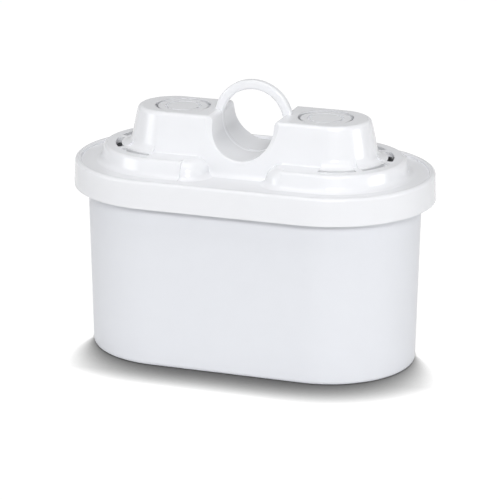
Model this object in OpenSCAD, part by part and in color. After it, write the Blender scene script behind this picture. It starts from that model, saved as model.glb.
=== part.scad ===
// Water pitcher filter cartridge.
// A tapered oval container is closed by a moulded lid. The lid has a hanging skirt,
// two hollow towers on a raised plinth, and a pull ring that stands in a finger trough.
// Origin at the middle of the base, X along the length, +Z up, millimetres.

/* [Outline] */
// Distance from the middle to the centre of each rounded end of the oval
end_c = 23.15; // [18:0.05:34]

/* [Container] */
// Radius of the rounded ends at the base
cup_base_r = 25.65; // [22:0.05:26.2]
// Radius of the rounded ends at the rim
cup_rim_r = 26.75; // [26.3:0.05:28]
// Height of the container up to its rim
cup_h = 54.3; // [40:0.1:90]
// Thickness of the side wall
cup_wall = 1.5; // [1:0.1:2]
// Thickness of the floor
cup_floor = 2; // [1.2:0.1:3]
// Rounding of the bottom edge
cup_edge_r = 1.1; // [0.5:0.1:1.6]
// Width of one outlet slot
outlet_w = 1.8; // [1:0.1:2.6]
// Length of one outlet slot
outlet_len = 17; // [8:0.5:22]
// Distance from one outlet slot to the next
outlet_pitch = 4.4; // [3.6:0.1:7]
// Number of outlet slots in a row
outlet_n = 13; // [3:2:17]
// Distance of each row of slots from the middle
outlet_row_y = 10.5; // [9.5:0.1:12]
// Depth of the shallow well that the outlet slots open into
well_depth = 0.7; // [0.4:0.1:1.1]
// Margin between the outlet slots and the edge of their well
well_margin = 2.2; // [1:0.1:3]

/* [Skirt] */
// Clear width between the rim of the container and the lower edge of the skirt
skirt_gap = 2.4; // [1.4:0.1:6]
// Height of the skirt from its lower edge to the top of the lip
skirt_h = 8; // [6:0.1:10]
// Draft of the skirt, in degrees
skirt_draft = 2; // [0:0.5:4]
// Thickness of the skirt
skirt_wall = 1.6; // [1.2:0.1:2]
// Rounding of the outer top edge of the lip
lip_round = 1; // [0.6:0.1:1.1]
// Width of the lip on top
lip_w = 1.8; // [1.7:0.1:2.6]
// Height of the lip above the deck
lip_h = 0.8; // [0.4:0.1:1.2]

/* [Deck and plinth] */
// Thickness of the moulded walls of the lid
lid_wall = 1.7; // [1.3:0.1:2]
// Distance from the middle to the centre of each rounded end of the plinth
plinth_c = 24.4; // [23:0.1:25]
// Width of the flat top of the plinth outside the vents
plinth_land = 2.4; // [1:0.1:3]
// Height of the plinth above the deck
plinth_h = 4.8; // [3.6:0.1:6]
// Draft of the plinth wall, in degrees
plinth_draft = 14; // [6:1:18]
// Rounding of the top edge of the plinth
plinth_round = 1.1; // [0.6:0.1:1.6]
// Fillet between the plinth and the deck
plinth_foot_r = 2; // [1:0.1:2.4]
// Half the clear width between the two inner ends of the plinth
gap_half = 8.9; // [8:0.1:10]
// Radius of the vertical corners at the inner ends of the plinth
gap_corner_r = 6.2; // [5:0.1:7]
// Rounding of the top edge at the inner ends of the plinth
gap_round = 4; // [2:0.1:4.6]
// Depth of the pocket floor below the deck
pocket_depth = 0.3; // [0.1:0.1:0.6]

/* [Towers] */
// Distance from the middle to the centre of each tower's rounded end
tower_c = 24.6; // [22:0.1:30]
// Radius of a tower's rounded end at its top
tower_r = 10.7; // [9.9:0.1:11]
// Height of the towers above the plinth
tower_h = 11.4; // [9:0.1:16]
// Draft of the tower walls, in degrees
tower_draft = 12; // [8:1:16]
// Rounding of the top edge of the towers
tower_round = 1.5; // [0.8:0.1:1.6]
// Fillet between the towers and the plinth
tower_foot_r = 0.7; // [0.3:0.1:1]
// Fillet between the trough and the pocket floor
saddle_foot_r = 1.8; // [1:0.1:2.2]

/* [Inlet discs] */
// Distance of the inlet discs from the middle
disc_x = 21.8; // [21:0.1:24]
// Radius of an inlet disc
disc_r = 7.3; // [6.4:0.1:7.6]
// Width of the open gap around an inlet disc
disc_gap = 0.8; // [0.5:0.1:1]
// Thickness of an inlet disc
disc_t = 1.6; // [1.2:0.1:2]
// Depth of the disc below the top of its tower
disc_drop = 0.25; // [0:0.05:0.5]
// Radius of the shallow round groove in an inlet disc
groove_r = 5; // [4:0.1:5.8]
// Width of the groove
groove_w = 0.7; // [0.4:0.1:1]
// Depth of the groove
groove_depth = 0.5; // [0.2:0.1:0.8]
// Number of spokes that carry an inlet disc
spoke_n = 4; // [3:1:6]
// Width of a spoke
spoke_w = 1.2; // [0.8:0.1:1.8]
// Height of a spoke
spoke_h = 1.6; // [1:0.1:2.4]

/* [Vents] */
// Width of a vent
vent_w = 1.8; // [1.4:0.1:2.4]
// Number of curved vents in the row round each tower
vent_n = 4; // [2:1:8]
// Angle taken by the whole row of vents, in degrees
vent_span = 173; // [120:1:176]
// Angle taken by the rib between two vents, in degrees
vent_rib = 7; // [3:0.5:10]
// Angle by which the row of vents is turned from the middle, in degrees
vent_turn = -3; // [-5:0.5:5]
// Fillet between the tower and the plinth along a vent
vent_foot_r = 3; // [1.6:0.1:3.2]
// Width of the flat between that fillet and its vent
vent_land = 0.1; // [0.05:0.05:0.4]

/* [Finger trough and ring] */
// Height of the middle of the pull ring above the deck
ring_lift = 13.6; // [12:0.1:16]
// Radius of the finger hole
ring_r = 9.2; // [8.5:0.1:10.5]
// Radial thickness of the pull ring
ring_w = 2.7; // [2:0.1:3.5]
// Thickness of the pull ring from front to back
ring_t = 2.5; // [2:0.1:4]
// Rounding of the edges of the pull ring
ring_round = 0.7; // [0.3:0.1:0.9]
// Extra radius of the trough beside the ring
trough_clear = 0.12; // [0.06:0.02:0.5]
// Rounding of the floor of the trough at each mouth
flare_r = 1; // [0.6:0.1:1.6]
// Width of the bevel beside each mouth of the trough
bevel_w = 1.8; // [1:0.1:2.2]
// Slope of the bevel beside each mouth of the trough, in degrees
bevel_a = 35; // [25:5:50]
// Length of the gate mark under the ring
gate_len = 3.2; // [2:0.1:5]
// Width of the gate mark
gate_w = 0.8; // [0.5:0.1:1.2]
// Depth of the gate mark
gate_depth = 0.3; // [0.1:0.1:0.6]

/* [Inside] */
// Height of the rib that centres the lid in the container
spigot_h = 2.6; // [1.5:0.1:4]
// Thickness of the rib that centres the lid in the container
spigot_t = 1.3; // [0.9:0.1:1.8]
// Clearance between the pieces that fit in the container and its wall
fit_gap = 0.2; // [0.1:0.05:0.4]
// Thickness of the two filter screens
screen_t = 0.5; // [0.3:0.1:1]
// Free height between the bed of filter granules and the screen above it
media_gap = 4.7; // [1:0.1:20]

/* [Hidden] */
$fn = 96;
eps = 0.02;
far = 200;

// Heights that follow from the driving sizes
deck_top_z = cup_h + lid_wall;
lip_top_z = deck_top_z + lip_h;
skirt_low_z = lip_top_z - skirt_h;
plinth_top_z = deck_top_z + plinth_h;
tower_top_z = plinth_top_z + tower_h;
ring_z = deck_top_z + ring_lift;
pocket_z = deck_top_z - pocket_depth;
disc_top_z = tower_top_z - disc_drop;
screen_low_z = cup_h - spigot_h - screen_t;
media_top_z = screen_low_z - media_gap;

// Radii and distances that follow from the driving sizes
cup_slope = (cup_rim_r - cup_base_r) / cup_h;
skirt_r = cup_rim_r + skirt_gap + skirt_wall;
skirt_top_r = skirt_r - skirt_h * tan(skirt_draft);
lip_in_r = skirt_top_r - lip_w;
vent_foot_x = foot_reach(tower_r, tower_top_z, tower_draft, tower_round, plinth_top_z, vent_foot_r);
vent_r = vent_foot_x + vent_land;
vent_sweep = (vent_span + vent_rib) / vent_n - vent_rib;
plinth_r = tower_c + vent_r + vent_w + plinth_land + plinth_round - plinth_c;
plinth_foot_y = foot_reach(plinth_r, plinth_top_z, plinth_draft, plinth_round, deck_top_z, plinth_foot_r);
saddle_y = tower_r + tower_h * tan(tower_draft);
trough_r = ring_r + trough_clear;
trough_flat_y = saddle_y - flare_r;
disc_hole_r = disc_r + disc_gap;
spigot_r = cup_rim_r - cup_wall - fit_gap;
well_c = (outlet_n - 1) / 2 * outlet_pitch - outlet_row_y / 2;
well_r = outlet_row_y + outlet_len / 2 + well_margin;

// Radius of the container's rounded ends at a height
function cup_r(z) = cup_base_r + cup_slope * z;

// Radius of a drafted wall with a rounded top edge at a height
function wall_reach(r, z1, draft, round, z) =
    r - round + round * cos(draft) + (z1 - round + round * sin(draft) - z) * tan(draft);

// Radius at which the fillet at the foot of such a wall meets the floor
function foot_reach(r, z1, draft, round, z, foot) =
    wall_reach(r, z1, draft, round, z + foot) + foot / cos(draft);

// Half profile of the fillet at the foot of a drafted wall, standing on a floor at z
module foot_profile(r, z1, draft, round, z, foot) {
    cx = foot_reach(r, z1, draft, round, z, foot);
    inner = cx - 2 * foot;
    wx = cx - foot * cos(draft);
    wz = z + foot * (1 - sin(draft));
    difference() {
        polygon([[inner, z - lid_wall / 2], [cx, z - lid_wall / 2], [cx, z], [wx, wz], [inner, wz]]);
        translate([cx, z + foot]) circle(r = foot);
    }
}

// Half profile of a drafted wall with a rounded top edge, r is its radius at the top
module wall_profile(r, z0, z1, draft, round) {
    cx = r - round;
    cz = z1 - round;
    tx = cx + round * cos(draft);
    tz = cz + round * sin(draft);
    polygon([[0, z0], [tx + (tz - z0) * tan(draft), z0], [tx, tz], [cx, cz], [cx, z1], [0, z1]]);
    intersection() {
        translate([cx, cz]) circle(r = round);
        translate([0, cz - round]) square([cx + 2 * round, 3 * round]);
    }
}

// Half profile of a hollow whose upper rim is rounded outwards
module rim_hollow_profile(r, z0, z1, round) {
    translate([0, z0]) square([r, z1 - z0 + 1]);
    difference() {
        translate([r - eps, z1 - round]) square([round + eps, round + 1]);
        translate([r + round, z1 - round]) circle(r = round);
    }
}

// Runs the half profile of its children round an oval with its end centres at +-c
module oval_sweep(c) {
    for (s = [-1, 1])
        translate([s * c, 0, 0])
            rotate([0, 0, s * -90])
                rotate_extrude(angle = 180)
                    children();
    translate([-c, 0, 0])
        rotate([90, 0, 90])
            linear_extrude(height = 2 * c) {
                children();
                mirror([1, 0]) children();
            }
}

// Flat oval sheet
module oval_sheet(c, r, z, t) {
    translate([0, 0, z])
        linear_extrude(height = t) {
            for (s = [-1, 1])
                translate([s * c, 0]) circle(r = r);
            square([2 * c, 2 * r], center = true);
        }
}

// Runs the half profiles of its two children round a block with one large rounded end at
// x = c and two small rounded corners towards x0: child 0 on the large end and the long
// sides, child 1 at the small corners and between them. r and corner are the two radii.
module pad_sweep(x0, c, r, corner) {
    px = x0 + corner;
    py = r - corner;
    translate([c, 0, 0])
        rotate([0, 0, -90])
            rotate_extrude(angle = 180)
                children(0);
    translate([px, 0, 0])
        rotate([90, 0, 90])
            linear_extrude(height = c - px) {
                children(0);
                mirror([1, 0]) children(0);
            }
    for (s = [-1, 1])
        translate([px, s * py, 0])
            rotate([0, 0, s > 0 ? 90 : 180])
                rotate_extrude(angle = 90)
                    children(1);
    translate([px, py, 0])
        rotate([90, 0, 0])
            linear_extrude(height = 2 * py)
                mirror([1, 0]) children(1);
}

// One half of the plinth, with a softer top edge at its inner end
module plinth_half() {
    low = deck_top_z - lid_wall;
    pad_sweep(gap_half, plinth_c, plinth_r, gap_corner_r) {
        union() {
            wall_profile(plinth_r, low, plinth_top_z, plinth_draft, plinth_round);
            foot_profile(plinth_r, plinth_top_z, plinth_draft, plinth_round, deck_top_z, plinth_foot_r);
        }
        union() {
            wall_profile(gap_corner_r, low, plinth_top_z, plinth_draft, gap_round);
            foot_profile(gap_corner_r, plinth_top_z, plinth_draft, gap_round, pocket_z, plinth_foot_r);
        }
    }
}

// Outer half profile of the container, with its rounded bottom edge
module cup_profile() {
    rb = cup_r(cup_edge_r) - cup_edge_r;
    polygon([[0, 0], [rb, 0], [rb, cup_edge_r], [cup_r(cup_edge_r), cup_edge_r], [cup_rim_r, cup_h], [0, cup_h]]);
    intersection() {
        translate([rb, cup_edge_r]) circle(r = cup_edge_r);
        square([cup_rim_r, cup_edge_r]);
    }
}

// Half profile of a filling that stays a given distance inside the container
module fill_profile(gap, z0, z1) {
    polygon([[0, z0], [cup_r(z0) - gap, z0], [cup_r(z1) - gap, z1], [0, z1]]);
}

// One outlet slot with round ends
module outlet_slot() {
    straight = outlet_len - outlet_w;
    square([outlet_w, straight], center = true);
    for (s = [-1, 1])
        translate([0, s * straight / 2]) circle(d = outlet_w, $fn = 24);
}

module container() {
    color("#e6e8ec")
    difference() {
        oval_sweep(end_c) cup_profile();
        oval_sweep(end_c) fill_profile(cup_wall, cup_floor, cup_h + 1);
        oval_sheet(well_c, well_r, -1, well_depth + 1);
        translate([0, 0, -1])
            linear_extrude(height = cup_floor + 2)
                for (i = [0 : outlet_n - 1], s = [-1, 1])
                    translate([(i - (outlet_n - 1) / 2) * outlet_pitch, s * outlet_row_y])
                        outlet_slot();
    }
}

// Half profile of the finger trough about its own axis, with a flared mouth
module trough_profile() {
    square([trough_r, far]);
    translate([trough_r - eps, trough_flat_y + flare_r]) square([flare_r + eps, far]);
    difference() {
        translate([trough_r - eps, trough_flat_y]) square([flare_r + eps, flare_r + eps]);
        translate([trough_r + flare_r, trough_flat_y]) circle(r = flare_r);
    }
}

// The finger trough, round below the middle of the ring and open to the top above it
module trough() {
    translate([0, 0, ring_z])
        for (s = [0, 180])
            rotate([0, 0, s]) {
                rotate([-90, 0, 0])
                    rotate_extrude()
                        trough_profile();
                linear_extrude(height = far) {
                    trough_profile();
                    mirror([1, 0]) trough_profile();
                }
            }
    // Rounded top edges along both sides
    translate([0, far, 0])
        rotate([90, 0, 0])
            linear_extrude(height = 2 * far) {
                rim_hollow_profile(trough_r, ring_z, tower_top_z, tower_round);
                mirror([1, 0]) rim_hollow_profile(trough_r, ring_z, tower_top_z, tower_round);
            }
}

// Pull ring with rounded edges, standing across the trough
module ring() {
    w = ring_w - 2 * ring_round;
    t = ring_t - 2 * ring_round;
    translate([0, 0, ring_z])
        rotate([90, 0, 0])
            rotate_extrude()
                translate([ring_r + ring_w / 2, 0]) {
                    square([ring_w, t], center = true);
                    square([w, ring_t], center = true);
                    for (a = [-1, 1], b = [-1, 1])
                        translate([a * w / 2, b * t / 2]) circle(r = ring_round, $fn = 32);
                }
}

// Small recess left by the mould gate at the bottom of the finger hole
module gate_mark() {
    translate([-gate_len / 2, -gate_w / 2, ring_z - ring_r - gate_depth])
        cube([gate_len, gate_w, 2 * gate_depth]);
}

// Both towers as one long block, still without the trough
module towers() {
    oval_sweep(tower_c)
        wall_profile(tower_r, deck_top_z - lid_wall, tower_top_z, tower_draft, tower_round);
}

// Fillets between the towers and the flat top of the plinth
module tower_feet() {
    clear_x = gap_half + gap_round;
    difference() {
        oval_sweep(tower_c)
            foot_profile(tower_r, tower_top_z, tower_draft, tower_round, plinth_top_z, tower_foot_r);
        translate([-clear_x, -far / 2, 0]) cube([2 * clear_x, far, far]);
    }
}

// Fillets between the trough's front and back walls and the pocket floor
module saddle_feet() {
    reach = gap_half + lid_wall;
    translate([-reach, 0, 0])
        rotate([90, 0, 90])
            linear_extrude(height = 2 * reach)
                for (m = [0, 1])
                    mirror([m, 0])
                        foot_profile(tower_r, tower_top_z, tower_draft, tower_round, pocket_z, saddle_foot_r);
}

// Bevel round one mouth of the trough, square to the leaning tower wall and widest beside it
module mouth_bevel() {
    mid_z = ring_z + bevel_w;
    mid_y = wall_reach(tower_r, tower_top_z, tower_draft, tower_round, mid_z);
    r = trough_r + bevel_w;
    run = 3 * bevel_w;
    translate([0, -mid_y, mid_z])
        rotate([90 - tower_draft, 0, 0])
            translate([0, 0, -run * tan(bevel_a)])
                cylinder(r1 = r - run, r2 = r + run, h = 2 * run * tan(bevel_a));
}

// Hollow inside the lid, one wall thickness from every outer face
module lid_hollow() {
    low = cup_h - 1;
    core_x = trough_r + lid_wall;
    core_top = ring_z - trough_r - lid_wall;
    end_x = gap_half + gap_corner_r;
    difference() {
        oval_sweep(tower_c)
            wall_profile(tower_r - lid_wall, low, tower_top_z - lid_wall, tower_draft, tower_round / 2);
        translate([-core_x, -far / 2, low - 1]) cube([2 * core_x, far, far]);
    }
    difference() {
        oval_sweep(plinth_c)
            wall_profile(plinth_r - lid_wall, low, plinth_top_z - lid_wall, plinth_draft, plinth_round / 3);
        translate([-end_x, -far / 2, low - 1]) cube([2 * end_x, far, far]);
    }
    translate([-core_x - 1, -trough_flat_y, low])
        cube([2 * core_x + 2, 2 * trough_flat_y, core_top - low]);
}

// Sweeps the half profile of its children round one tower, once for each vent
module along_vents() {
    for (i = [0 : vent_n - 1])
        rotate([0, 0, vent_turn - vent_span / 2 + i * (vent_sweep + vent_rib)])
            rotate_extrude(angle = vent_sweep)
                children();
}

// Curved slots through the plinth round the outer end of one tower
module vents() {
    along_vents()
        translate([vent_r, plinth_top_z - lid_wall - 1])
            square([vent_w, lid_wall + 2]);
}

// Larger fillets that lead from one tower down to its vents
module vent_feet() {
    along_vents()
        foot_profile(tower_r, tower_top_z, tower_draft, tower_round, plinth_top_z, vent_foot_r);
}

// Inlet disc with its groove and the spokes that carry it
module inlet_disc() {
    spoke_top = tower_top_z - lid_wall + disc_t / 4;
    difference() {
        translate([0, 0, disc_top_z - disc_t]) cylinder(r = disc_r, h = disc_t);
        translate([0, 0, disc_top_z - groove_depth])
            rotate_extrude()
                translate([groove_r - groove_w / 2, 0]) square([groove_w, groove_depth + 1]);
    }
    for (i = [0 : spoke_n - 1])
        rotate([0, 0, (i + 0.5) * 360 / spoke_n])
            translate([disc_r - lid_wall / 2, -spoke_w / 2, spoke_top - spoke_h])
                cube([disc_gap + lid_wall, spoke_w, spoke_h]);
}

module lid() {
    color("#eff0f3") {
        difference() {
            union() {
                // Skirt, lip and deck
                difference() {
                    oval_sweep(end_c)
                        wall_profile(skirt_top_r, skirt_low_z, lip_top_z, skirt_draft, lip_round);
                    oval_sweep(end_c)
                        rim_hollow_profile(lip_in_r, deck_top_z, lip_top_z, lip_round / 2);
                    oval_sweep(end_c)
                        polygon([
                            [0, skirt_low_z - 1],
                            [skirt_r - skirt_wall, skirt_low_z - 1],
                            [skirt_top_r - skirt_wall, cup_h],
                            [0, cup_h]
                        ]);
                    // Pocket between the inner ends of the plinth
                    translate([-gap_half - gap_corner_r, -plinth_foot_y, pocket_z])
                        cube([2 * (gap_half + gap_corner_r), 2 * plinth_foot_y, far]);
                }
                for (s = [0, 180])
                    rotate([0, 0, s]) plinth_half();
                tower_feet();
                for (s = [0, 180])
                    rotate([0, 0, s])
                        translate([tower_c, 0, 0])
                            vent_feet();
                saddle_feet();
                difference() {
                    towers();
                    trough();
                    for (s = [0, 180])
                        rotate([0, 0, s]) mouth_bevel();
                }
            }
            lid_hollow();
            for (s = [0, 180])
                rotate([0, 0, s])
                    translate([disc_x, 0, tower_top_z - lid_wall - 1])
                        cylinder(r = disc_hole_r, h = lid_wall + 2);
            for (s = [0, 180])
                rotate([0, 0, s])
                    translate([tower_c, 0, 0])
                        vents();
        }
        for (s = [0, 180])
            rotate([0, 0, s])
                translate([disc_x, 0, 0])
                    inlet_disc();
        difference() {
            ring();
            gate_mark();
        }
        // Rib that centres the lid in the container
        difference() {
            oval_sheet(end_c, spigot_r, cup_h - spigot_h, spigot_h + lid_wall / 2);
            oval_sheet(end_c, spigot_r - spigot_t, cup_h - spigot_h - 1, spigot_h + lid_wall + 2);
        }
    }
}

// Woven screen under the inlets, welded to the centring rib of the lid
module inlet_screen() {
    color("#d9dbdd") oval_sheet(end_c, spigot_r, screen_low_z, screen_t);
}

// Woven screen that lies on the container floor over the outlet slots
module outlet_screen() {
    color("#d9dbdd") oval_sheet(end_c, cup_r(cup_floor) - cup_wall - fit_gap, cup_floor, screen_t);
}

// Bed of carbon and resin granules
module media() {
    color("#55524c")
    oval_sweep(end_c)
        fill_profile(cup_wall + fit_gap, cup_floor + screen_t, media_top_z);
}

container();
lid();
inlet_screen();
outlet_screen();
media();
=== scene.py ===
import bpy
import bmesh
import math
from mathutils import Matrix, Vector


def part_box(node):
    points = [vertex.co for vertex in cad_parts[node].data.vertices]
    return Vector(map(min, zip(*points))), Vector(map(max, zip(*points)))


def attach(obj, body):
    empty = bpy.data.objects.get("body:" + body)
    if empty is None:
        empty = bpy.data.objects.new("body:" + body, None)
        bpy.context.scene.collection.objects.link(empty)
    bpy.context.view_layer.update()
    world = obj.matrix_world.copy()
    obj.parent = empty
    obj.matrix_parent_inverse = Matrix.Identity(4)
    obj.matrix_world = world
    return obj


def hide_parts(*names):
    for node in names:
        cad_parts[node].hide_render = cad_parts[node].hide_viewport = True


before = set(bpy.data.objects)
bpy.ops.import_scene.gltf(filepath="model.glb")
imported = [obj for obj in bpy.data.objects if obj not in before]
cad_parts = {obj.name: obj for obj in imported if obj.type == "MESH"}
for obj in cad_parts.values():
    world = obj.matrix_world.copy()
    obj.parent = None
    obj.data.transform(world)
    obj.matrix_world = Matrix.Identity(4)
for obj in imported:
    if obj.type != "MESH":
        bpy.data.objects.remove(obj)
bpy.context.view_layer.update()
MM = 0.001

# Camera
# A long lens, a little above the cartridge and to the right of its front. Its place
# comes from the ovals of the lid and the base, and it aims at the middle of the picture.
PHOTO_AZIMUTH = math.radians(18.88)
PHOTO_ELEVATION = math.radians(16.45)
PHOTO_ROLL = math.radians(0.14)
PHOTO_DISTANCE = 787.9 * MM
PHOTO_LENS = 194.25
PHOTO_SENSOR = 36
MIDDLE = Vector((0, 0, 45 * MM))
AIM_RIGHT = -1.17 * MM
AIM_UP = -14.28 * MM

back = Vector((
    math.sin(PHOTO_AZIMUTH) * math.cos(PHOTO_ELEVATION),
    -math.cos(PHOTO_AZIMUTH) * math.cos(PHOTO_ELEVATION),
    math.sin(PHOTO_ELEVATION),
))
right = Vector((math.cos(PHOTO_AZIMUTH), math.sin(PHOTO_AZIMUTH), 0))
up = back.cross(right)
camera_at = MIDDLE + back * PHOTO_DISTANCE
aim = MIDDLE + right * AIM_RIGHT + up * AIM_UP

camera = bpy.data.objects.new("camera", bpy.data.cameras.new("camera"))
bpy.context.scene.collection.objects.link(camera)
camera.data.sensor_width = PHOTO_SENSOR
camera.data.lens = PHOTO_LENS
camera.data.clip_end = 20
turn = (camera_at - aim).to_track_quat("Z", "Y")
camera.matrix_world = (
    Matrix.Translation(camera_at) @ turn.to_matrix().to_4x4() @ Matrix.Rotation(PHOTO_ROLL, 4, "Z")
)
bpy.context.scene.camera = camera

# Container
# A deep tapered cup of white polypropylene, injection moulded in one shot. The polished
# cavity leaves a soft gloss, and the cup is drawn out of it upwards, which leaves fine
# level lines on its wall.
CUP_WHITE = "#eaecf1"
CUP_SHADE = "#e8eaef"
CUP_ROUGHNESS = 0.36
LINE_SPACING = 0.9
LINE_DEPTH = 0.004
FLOW_WIDTH = 5
GRAIN_WIDTH = 0.5
GRAIN_DEPTH = 0.0015
POLYPROPYLENE_IOR = 1.49
WELD = 0.001 * MM
CRISP_ANGLE = math.radians(28)


def linear(colour):
    """An sRGB hex colour as linear red, green, blue and alpha."""
    parts = [int(colour[i:i + 2], 16) / 255 for i in (1, 3, 5)]
    return [c / 12.92 if c <= 0.04045 else ((c + 0.055) / 1.055) ** 2.4 for c in parts] + [1]


def add(tree, kind, inputs=None, **settings):
    """Adds one node. An input's value is a constant, or an output socket to link from."""
    made = tree.nodes.new(kind)
    for name, value in settings.items():
        setattr(made, name, value)
    for name, value in (inputs or {}).items():
        if isinstance(value, bpy.types.NodeSocket):
            tree.links.new(value, made.inputs[name])
        else:
            made.inputs[name].default_value = value
    return made


def new_material(name):
    """An empty node material and its tree."""
    made = bpy.data.materials.new(name)
    made.use_nodes = True
    made.node_tree.nodes.clear()
    return made, made.node_tree


def polypropylene(name, white, shade, roughness, line_depth):
    """Moulded white polypropylene: cloudy flow, soft gloss, fine grain and draw lines."""
    made, tree = new_material(name)
    place = add(tree, "ShaderNodeTexCoord").outputs["Object"]
    flow = add(tree, "ShaderNodeTexNoise", {"Vector": place, "Scale": 1 / (FLOW_WIDTH * MM), "Detail": 8})
    tint = add(tree, "ShaderNodeMix", {
        0: flow.outputs["Fac"],
        6: linear(white),
        7: linear(shade),
    }, data_type="RGBA")
    gloss = add(tree, "ShaderNodeMapRange", {
        "Value": flow.outputs["Fac"],
        "To Min": roughness - 0.03,
        "To Max": roughness + 0.03,
    })
    # Draw lines run level round the wall, so their noise is stretched along X and Y
    level = add(tree, "ShaderNodeMapping", {
        "Vector": place,
        "Scale": (2, 2, 1 / (LINE_SPACING * MM)),
    })
    lines = add(tree, "ShaderNodeTexNoise", {"Vector": level.outputs[0], "Scale": 1, "Detail": 3})
    drawn = add(tree, "ShaderNodeBump", {
        "Height": lines.outputs["Fac"],
        "Distance": line_depth * MM,
        "Strength": 1,
    })
    grain = add(tree, "ShaderNodeTexNoise", {"Vector": place, "Scale": 1 / (GRAIN_WIDTH * MM), "Detail": 3})
    rough = add(tree, "ShaderNodeBump", {
        "Height": grain.outputs["Fac"],
        "Distance": GRAIN_DEPTH * MM,
        "Normal": drawn.outputs[0],
    })
    shader = add(tree, "ShaderNodeBsdfPrincipled", {
        "Base Color": tint.outputs[2],
        "Roughness": gloss.outputs[0],
        "IOR": POLYPROPYLENE_IOR,
        "Subsurface Weight": 0.15,
        "Subsurface Radius": (1, 1, 1),
        "Subsurface Scale": 1.5 * MM,
        "Normal": rough.outputs[0],
    })
    add(tree, "ShaderNodeOutputMaterial", {"Surface": shader.outputs[0]})
    return made


def moulding(name, node, material):
    """The solid of a CAD node as one closed skin, smooth on its curves and crisp at its edges."""
    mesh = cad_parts[node].data.copy()
    shape = bmesh.new()
    shape.from_mesh(mesh)
    bmesh.ops.remove_doubles(shape, verts=shape.verts, dist=WELD)
    for face in shape.faces:
        face.smooth = True
    for edge in shape.edges:
        edge.smooth = len(edge.link_faces) == 2 and edge.calc_face_angle() < CRISP_ANGLE
    shape.to_mesh(mesh)
    shape.free()
    if "custom_normal" in mesh.attributes:
        mesh.attributes.remove(mesh.attributes["custom_normal"])
    mesh.materials.clear()
    mesh.materials.append(material)
    made = bpy.data.objects.new(name, mesh)
    bpy.context.scene.collection.objects.link(made)
    even = made.modifiers.new("even_shading", "WEIGHTED_NORMAL")
    even.mode = "FACE_AREA_WITH_ANGLE"
    even.keep_sharp = True
    ready = made.evaluated_get(bpy.context.evaluated_depsgraph_get())
    made.data = bpy.data.meshes.new_from_object(ready)
    made.modifiers.clear()
    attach(made, "root")
    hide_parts(node)
    return made


cup = moulding(
    "container_skin", "container",
    polypropylene("moulded_polypropylene_cup", CUP_WHITE, CUP_SHADE, CUP_ROUGHNESS, LINE_DEPTH),
)

# Lid
# One moulding of the same white polypropylene, with the skirt, plinth, towers, trough and
# ring. It snaps over the cup's rim. Its tool is polished brighter, so the walls of the
# towers carry a clear soft streak of light.
LID_WHITE = "#eff0f3"
LID_SHADE = "#edeef1"
LID_ROUGHNESS = 0.2
cover = moulding(
    "lid_skin", "lid",
    polypropylene("moulded_polypropylene_lid", LID_WHITE, LID_SHADE, LID_ROUGHNESS, LINE_DEPTH / 2),
)

# Screens
# Two ovals of plain-woven polyester, one under the inlets and one over the outlet slots.
# Round threads pass over and under each other, and the cut edge is welded to a flat rim.
# The real pitch is about 0.2 mm, and it is drawn coarser so that the weave can be seen.
THREAD_PITCH = 0.9
THREAD_D = 0.24
RIM_WIDTH = 1.4
POINTS_PER_PITCH = 2
THREAD_SIDES = 4
POLYESTER_IOR = 1.57
polyester, tree = new_material("woven_polyester")
place = add(tree, "ShaderNodeTexCoord").outputs["Object"]
slub = add(tree, "ShaderNodeTexNoise", {"Vector": place, "Scale": 1 / (THREAD_PITCH * MM), "Detail": 2})
tint = add(tree, "ShaderNodeMix", {
    0: slub.outputs["Fac"],
    6: linear("#dcdfe2"),
    7: linear("#c9cdd2"),
}, data_type="RGBA")
shader = add(tree, "ShaderNodeBsdfPrincipled", {
    "Base Color": tint.outputs[2],
    "Roughness": 0.45,
    "IOR": POLYESTER_IOR,
    "Sheen Weight": 0.2,
})
add(tree, "ShaderNodeOutputMaterial", {"Surface": shader.outputs[0]})


def tree_with_inputs(name, inputs):
    """A geometry tree with one named number or count for each of inputs."""
    made = bpy.data.node_groups.new(name, "GeometryNodeTree")
    made.interface.new_socket("Geometry", in_out="OUTPUT", socket_type="NodeSocketGeometry")
    for label, kind in inputs:
        made.interface.new_socket(label, in_out="INPUT", socket_type=kind)
    return made, made.nodes.new("NodeGroupInput").outputs


def grown(name, group, values, source=None):
    """The plain mesh object that a geometry tree makes from the given input values."""
    start = source or bpy.data.meshes.new(name + "_start")
    maker = bpy.data.objects.new(name + "_maker", start)
    bpy.context.scene.collection.objects.link(maker)
    modifier = maker.modifiers.new("grow", "NODES")
    modifier.node_group = group
    for item in group.interface.items_tree:
        if item.in_out == "INPUT" and item.name in values:
            modifier[item.identifier] = values[item.name]
    ready = maker.evaluated_get(bpy.context.evaluated_depsgraph_get())
    mesh = bpy.data.meshes.new_from_object(ready)
    mesh.name = name
    maker.modifiers.remove(modifier)
    bpy.data.objects.remove(maker)
    made = bpy.data.objects.new(name, mesh)
    bpy.context.scene.collection.objects.link(made)
    return made


def maths(tree, operation, *values):
    """The result of one Math node."""
    return add(tree, "ShaderNodeMath", dict(enumerate(values)), operation=operation).outputs[0]


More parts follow.
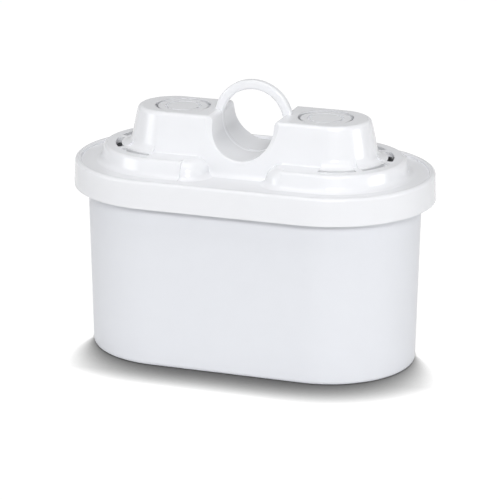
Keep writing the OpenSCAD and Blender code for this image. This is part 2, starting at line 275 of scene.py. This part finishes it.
def thread_row(tree, given, along, across, phase):
    """Threads that run along one axis, each trimmed where it leaves the oval."""
    ahead = [0, 0, 0]
    ahead[along] = 1
    reach = maths(tree, "ADD", given["Centre"], given["Radius"])
    span = add(tree, "ShaderNodeVectorMath", {0: ahead, "Scale": reach}, operation="SCALE").outputs[0]
    minus = add(tree, "ShaderNodeVectorMath", {0: span, "Scale": -1.0}, operation="SCALE").outputs[0]
    line = add(tree, "GeometryNodeCurvePrimitiveLine", {"Start": minus, "End": span})
    step = maths(tree, "DIVIDE", given["Pitch"], POINTS_PER_PITCH)
    fine = add(tree, "GeometryNodeResampleCurve", {"Curve": line.outputs[0], "Length": step}, mode="LENGTH")
    beside = [0, 0, 0]
    beside[across] = 1
    count = maths(tree, "ADD", maths(tree, "MULTIPLY", given["Threads"], 2), 1)
    offset = add(tree, "ShaderNodeVectorMath", {0: beside, "Scale": given["Pitch"]}, operation="SCALE").outputs[0]
    back_step = maths(tree, "MULTIPLY", given["Threads"], -1)
    first = add(tree, "ShaderNodeVectorMath", {0: offset, "Scale": back_step}, operation="SCALE").outputs[0]
    row = add(tree, "GeometryNodeMeshLine", {"Count": count, "Start Location": first, "Offset": offset})
    copies = add(tree, "GeometryNodeInstanceOnPoints", {
        "Points": row.outputs[0],
        "Instance": fine.outputs[0],
    })
    threads = add(tree, "GeometryNodeRealizeInstances", {0: copies.outputs[0]})
    at = add(tree, "ShaderNodeSeparateXYZ", {0: add(tree, "GeometryNodeInputPosition").outputs[0]})
    # The wave of a thread turns over at each crossing, and the next thread is half a wave on
    turns = maths(tree, "ADD", at.outputs[along], at.outputs[across])
    less = maths(tree, "SUBTRACT", at.outputs[along], at.outputs[across])
    wave = maths(
        tree, "ADD",
        maths(tree, "COSINE", maths(tree, "DIVIDE", maths(tree, "MULTIPLY", turns, math.pi), given["Pitch"])),
        maths(tree, "COSINE", maths(tree, "DIVIDE", maths(tree, "MULTIPLY", less, math.pi), given["Pitch"])),
    )
    lift = maths(tree, "MULTIPLY", wave, maths(tree, "MULTIPLY", given["Thread"], phase / 4))
    high = add(tree, "ShaderNodeCombineXYZ", {2: maths(tree, "ADD", lift, given["Height"])})
    waved = add(tree, "GeometryNodeSetPosition", {"Geometry": threads.outputs[0], "Offset": high.outputs[0]})
    past = maths(tree, "MAXIMUM", maths(tree, "SUBTRACT", maths(tree, "ABSOLUTE", at.outputs[0]), given["Centre"]), 0)
    far = maths(tree, "SQRT", maths(
        tree, "ADD", maths(tree, "MULTIPLY", past, past), maths(tree, "MULTIPLY", at.outputs[1], at.outputs[1])
    ))
    outside = maths(tree, "GREATER_THAN", far, given["Radius"])
    trimmed = add(tree, "GeometryNodeDeleteGeometry", {"Geometry": waved.outputs[0], "Selection": outside})
    ring = add(tree, "GeometryNodeCurvePrimitiveCircle", {
        "Resolution": THREAD_SIDES,
        "Radius": maths(tree, "DIVIDE", given["Thread"], 2),
    })
    return add(tree, "GeometryNodeCurveToMesh", {
        "Curve": trimmed.outputs[0],
        "Profile Curve": ring.outputs[0],
        "Fill Caps": True,
    }).outputs[0]


weave, given = tree_with_inputs("plain weave", (
    ("Pitch", "NodeSocketFloat"),
    ("Thread", "NodeSocketFloat"),
    ("Centre", "NodeSocketFloat"),
    ("Radius", "NodeSocketFloat"),
    ("Height", "NodeSocketFloat"),
    ("Threads", "NodeSocketInt"),
    ("Long threads", "NodeSocketInt"),
    ("Fibre", "NodeSocketMaterial"),
))
given = {socket.name: socket for socket in given}
warp = thread_row(weave, given, 0, 1, 1)
given_across = dict(given, Threads=given["Long threads"])
weft = thread_row(weave, given_across, 1, 0, -1)
cloth = add(weave, "GeometryNodeJoinGeometry")
weave.links.new(warp, cloth.inputs[0])
weave.links.new(weft, cloth.inputs[0])
real = add(weave, "GeometryNodeRealizeInstances", {0: cloth.outputs[0]})
dyed = add(weave, "GeometryNodeSetMaterial", {"Geometry": real.outputs[0], "Material": given["Fibre"]})
add(weave, "NodeGroupOutput", {0: dyed.outputs[0]})


def oval(centre, radius, steps):
    """Points of an oval with rounded ends of that radius, in order."""
    points = []
    for side in (1, -1):
        for i in range(steps + 1):
            angle = math.pi * (i / steps - 0.5)
            points.append((side * (centre + radius * math.cos(angle)), side * radius * math.sin(angle)))
    return points


def welded_rim(name, centre, radius, low, high, width):
    """A flat closed rim round an oval screen."""
    made = bpy.data.objects.new(name, bpy.data.meshes.new(name))
    bpy.context.scene.collection.objects.link(made)
    shape = bmesh.new()
    rings = []
    for r, z in ((radius, low), (radius, high), (radius - width, high), (radius - width, low)):
        rings.append([shape.verts.new((x, y, z)) for x, y in oval(centre, r, 32)])
    count = len(rings[0])
    for a in range(4):
        for i in range(count):
            j = (i + 1) % count
            one, two = rings[a], rings[(a + 1) % 4]
            shape.faces.new((one[i], one[j], two[j], two[i]))
    bmesh.ops.recalc_face_normals(shape, faces=shape.faces)
    shape.to_mesh(made.data)
    shape.free()
    made.data.materials.append(polyester)
    return made


for node in ("inlet_screen", "outlet_screen"):
    low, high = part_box(node)
    radius = high.y
    centre = high.x - radius
    thread = THREAD_D * MM
    pitch = THREAD_PITCH * MM
    inner = radius - RIM_WIDTH * MM / 2
    cloth_piece = grown(node + "_weave", weave, {
        "Pitch": pitch,
        "Thread": thread,
        "Centre": centre,
        "Radius": inner,
        "Height": (low.z + high.z) / 2,
        "Threads": int(inner / pitch),
        "Long threads": int((centre + inner) / pitch),
        "Fibre": polyester,
    })
    rim_piece = welded_rim(node + "_rim", centre, radius, low.z, high.z, RIM_WIDTH * MM)
    for piece in (cloth_piece, rim_piece):
        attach(piece, "root")
    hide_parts(node)

# Granules
# The bed of activated carbon and ion exchange resin, poured loose into the cup and closed
# in by the two screens. Black carbon grains and amber beads lie mixed, about 1.6 mm wide,
# with a core below them that no one sees.
GRAIN_D = 1.5
GRAIN_SEED = 7
grain_material, tree = new_material("carbon_and_resin_granules")
kind = add(tree, "ShaderNodeAttribute", attribute_name="kind")
mix = add(tree, "ShaderNodeValToRGB", {0: kind.outputs["Fac"]})
mix.color_ramp.interpolation = "CONSTANT"
mix.color_ramp.elements[0].color = linear("#26262a")
mix.color_ramp.elements[1].position = 0.62
mix.color_ramp.elements[1].color = linear("#b98a4a")
place = add(tree, "ShaderNodeTexCoord").outputs["Object"]
pores = add(tree, "ShaderNodeTexNoise", {"Vector": place, "Scale": 1 / (0.3 * MM), "Detail": 2})
pitted = add(tree, "ShaderNodeBump", {"Height": pores.outputs["Fac"], "Distance": 0.08 * MM})
shader = add(tree, "ShaderNodeBsdfPrincipled", {
    "Base Color": mix.outputs[0],
    "Roughness": 0.7,
    "Normal": pitted.outputs[0],
})
add(tree, "ShaderNodeOutputMaterial", {"Surface": shader.outputs[0]})

bed, given = tree_with_inputs("poured bed", (
    ("Core", "NodeSocketGeometry"),
    ("Grain", "NodeSocketFloat"),
    ("Seed", "NodeSocketInt"),
    ("Granules", "NodeSocketMaterial"),
))
given = {socket.name: socket for socket in given}
spread = add(bed, "GeometryNodeDistributePointsOnFaces", {
    "Mesh": given["Core"],
    "Distance Min": maths(bed, "MULTIPLY", given["Grain"], 0.8),
    "Density Max": 1 / (0.9 * MM) ** 2,
    "Seed": given["Seed"],
}, distribute_method="POISSON")
ball = add(bed, "GeometryNodeMeshIcoSphere", {
    "Radius": maths(bed, "DIVIDE", given["Grain"], 2),
    "Subdivisions": 1,
})
spin = add(bed, "FunctionNodeRandomValue", {
    0: (0, 0, 0),
    1: (math.tau, math.tau, math.tau),
    "Seed": given["Seed"],
}, data_type="FLOAT_VECTOR")
size = add(bed, "FunctionNodeRandomValue", {
    0: (0.7, 0.7, 0.6),
    1: (1, 1, 1),
    "Seed": given["Seed"],
}, data_type="FLOAT_VECTOR")
lay = add(bed, "GeometryNodeInstanceOnPoints", {
    "Points": spread.outputs[0],
    "Instance": ball.outputs[0],
    "Rotation": spin.outputs[0],
    "Scale": size.outputs[0],
})
sort = add(bed, "FunctionNodeRandomValue", {"Seed": given["Seed"]})
marked = add(bed, "GeometryNodeStoreNamedAttribute", {
    "Geometry": lay.outputs[0],
    "Name": "kind",
    "Value": sort.outputs[1],
}, domain="INSTANCE")
heap = add(bed, "GeometryNodeJoinGeometry")
bed.links.new(marked.outputs[0], heap.inputs[0])
bed.links.new(given["Core"], heap.inputs[0])
real = add(bed, "GeometryNodeRealizeInstances", {0: heap.outputs[0]})
dusted = add(bed, "GeometryNodeSetMaterial", {"Geometry": real.outputs[0], "Material": given["Granules"]})
add(bed, "NodeGroupOutput", {0: dusted.outputs[0]})


def tapered_core(name, low, high, shrink):
    """The poured bed's own outline, drawn in on every side by shrink."""
    shape = bmesh.new()
    verts = [v.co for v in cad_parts["media"].data.vertices]
    rings = []
    for z in (low.z, high.z):
        level = [v for v in verts if abs(v.z - z) < MM]
        radius = max(v.y for v in level)
        centre = max(v.x for v in level) - radius
        height = z + shrink if z == low.z else z - shrink
        rings.append([shape.verts.new((x, y, height)) for x, y in oval(centre, radius - shrink, 24)])
    count = len(rings[0])
    for i in range(count):
        j = (i + 1) % count
        shape.faces.new((rings[0][i], rings[0][j], rings[1][j], rings[1][i]))
    for ring in rings:
        shape.faces.new(ring)
    bmesh.ops.recalc_face_normals(shape, faces=shape.faces)
    mesh = bpy.data.meshes.new(name)
    shape.to_mesh(mesh)
    shape.free()
    return mesh


low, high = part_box("media")
core = tapered_core("bed_core", low, high, GRAIN_D / 2 * MM)
granules = grown("granules", bed, {
    "Grain": GRAIN_D * MM,
    "Seed": GRAIN_SEED,
    "Granules": grain_material,
}, core)
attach(granules, "root")
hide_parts("media")

# Floor
# A plain white table top. It shows white to the camera and in reflections. Near the cartridge that white glow is
# darkened by ambient occlusion leaned away from the camera, a painted shadow that reaches further in front of the
# cartridge than beside it;
# a weak grey diffuse layer under it keeps the lamps' real shadows.
FLOOR_WHITE = "#dcdcdc"
FLOOR_HALF = 3
FLOOR_GLOW = 0.97
# Painted shadow: how far and how deep the floor's white glow is darkened near the cartridge, and which way that
# darkening leans
PAINTED_SHADOW_REACH = 15 * MM
PAINTED_SHADOW_DEPTH = 2.2
PAINTED_SHADOW_LEAN = math.radians(45)
PAINTED_SHADOW_TOWARDS = math.radians(9.4)
PAINTED_SHADOW_REACH_FROM = 0 * MM
PAINTED_SHADOW_REACH_TO = 26 * MM
floor = bpy.data.objects.new("floor", bpy.data.meshes.new("floor"))
bpy.context.scene.collection.objects.link(floor)
corners = [(-1, -1), (1, -1), (1, 1), (-1, 1)]
floor.data.from_pydata([(x * FLOOR_HALF, y * FLOOR_HALF, 0) for x, y in corners], [], [(0, 1, 2, 3)])
painted, tree = new_material("white_painted_table")
matt = add(tree, "ShaderNodeBsdfDiffuse", {"Color": linear(FLOOR_WHITE)})
shaded = add(tree, "ShaderNodeBsdfDiffuse", {"Color": linear("#505050")})
painted_shadow_lean = add(tree, "ShaderNodeCombineXYZ", {
    0: -math.sin(PAINTED_SHADOW_LEAN) * math.sin(PAINTED_SHADOW_TOWARDS),
    1: math.sin(PAINTED_SHADOW_LEAN) * math.cos(PAINTED_SHADOW_TOWARDS),
    2: math.cos(PAINTED_SHADOW_LEAN),
})
painted_shadow_forward = add(tree, "ShaderNodeVectorMath", {
    0: add(tree, "ShaderNodeTexCoord").outputs["Object"],
    1: (math.sin(PAINTED_SHADOW_TOWARDS), -math.cos(PAINTED_SHADOW_TOWARDS), 0),
}, operation="DOT_PRODUCT")
reach = add(tree, "ShaderNodeMapRange", {
    "Value": painted_shadow_forward.outputs["Value"],
    "From Min": PAINTED_SHADOW_REACH_FROM,
    "From Max": PAINTED_SHADOW_REACH_TO,
    "To Min": 1 * MM,
    "To Max": PAINTED_SHADOW_REACH,
})
# Painted shadow: ambient occlusion, leaned back and reaching further towards the camera, darkens the white glow near
# the cartridge
painted_shadow_occlusion = add(tree, "ShaderNodeAmbientOcclusion", {
    "Distance": reach.outputs[0],
    "Normal": painted_shadow_lean.outputs[0],
}, samples=16)
glow_with_painted_shadow = maths(tree, "MULTIPLY", maths(tree, "POWER", painted_shadow_occlusion.outputs["AO"], PAINTED_SHADOW_DEPTH), FLOOR_GLOW)
white = add(tree, "ShaderNodeEmission", {"Color": (1, 1, 1, 1), "Strength": glow_with_painted_shadow})
lamp_shade_and_painted_shadow = add(tree, "ShaderNodeAddShader", {0: shaded.outputs[0], 1: white.outputs[0]})


def seen(tree):
    """1 for camera rays, reflections and light seen through a clear body."""
    path = add(tree, "ShaderNodeLightPath")
    through = maths(tree, "MAXIMUM", path.outputs["Is Glossy Ray"], path.outputs["Is Transmission Ray"])
    return maths(tree, "MAXIMUM", path.outputs["Is Camera Ray"], through)


shown = add(tree, "ShaderNodeMixShader", {0: seen(tree), 1: matt.outputs[0], 2: lamp_shade_and_painted_shadow.outputs[0]})
add(tree, "ShaderNodeOutputMaterial", {"Surface": shown.outputs[0]})
floor.data.materials.append(painted)

# Light
# A white room with a large softbox over the table and one on each side of the camera.
# A narrow one near the camera draws the streak on the rounded ends of the towers.
ROOM_ENDS = 0.42
ROOM_SIDES = 0.14
softboxes = (
    # name, azimuth, elevation, distance, width, height, power
    ("softbox_front", 20, 27, 1.0, 0.3, 0.16, 3.85),
    ("softbox_over", 0, 80, 0.9, 0.7, 0.7, 3.4),
    ("softbox_left", -55, 12, 0.9, 0.4, 0.3, 1.5),
    ("softbox_right", 86, 6, 0.6, 0.25, 0.12, 0.8),
)
for name, azimuth, elevation, distance, width, height, power in softboxes:
    light = bpy.data.lights.new(name, "AREA")
    light.shape = "RECTANGLE"
    light.size = width
    light.size_y = height
    light.energy = power
    lamp = bpy.data.objects.new(name, light)
    bpy.context.scene.collection.objects.link(lamp)
    a, e = math.radians(azimuth), math.radians(elevation)
    towards = Vector((math.sin(a) * math.cos(e), -math.cos(a) * math.cos(e), math.sin(e)))
    lamp.matrix_world = (
        Matrix.Translation(MIDDLE + towards * distance) @ towards.to_track_quat("Z", "Y").to_matrix().to_4x4()
    )

world = bpy.data.worlds.new("room")
bpy.context.scene.world = world
world.use_nodes = True
world.node_tree.nodes.clear()
tree = world.node_tree
ahead = (math.sin(PHOTO_AZIMUTH), -math.cos(PHOTO_AZIMUTH), 0)
facing = add(tree, "ShaderNodeVectorMath", {
    0: add(tree, "ShaderNodeTexCoord").outputs["Generated"],
    1: ahead,
}, operation="DOT_PRODUCT")
lit = add(tree, "ShaderNodeMapRange", {
    "Value": maths(tree, "ABSOLUTE", facing.outputs["Value"]),
    "To Min": ROOM_SIDES,
    "To Max": ROOM_ENDS,
})
dim = add(tree, "ShaderNodeBackground", {"Color": (1, 1, 1, 1), "Strength": lit.outputs[0]})
bright = add(tree, "ShaderNodeBackground", {"Color": (1, 1, 1, 1), "Strength": 1})
path = add(tree, "ShaderNodeLightPath")
room = add(tree, "ShaderNodeMixShader", {0: path.outputs["Is Camera Ray"], 1: dim.outputs[0], 2: bright.outputs[0]})
add(tree, "ShaderNodeOutputWorld", {"Surface": room.outputs[0]})

bpy.context.scene.view_settings.view_transform = "Standard"
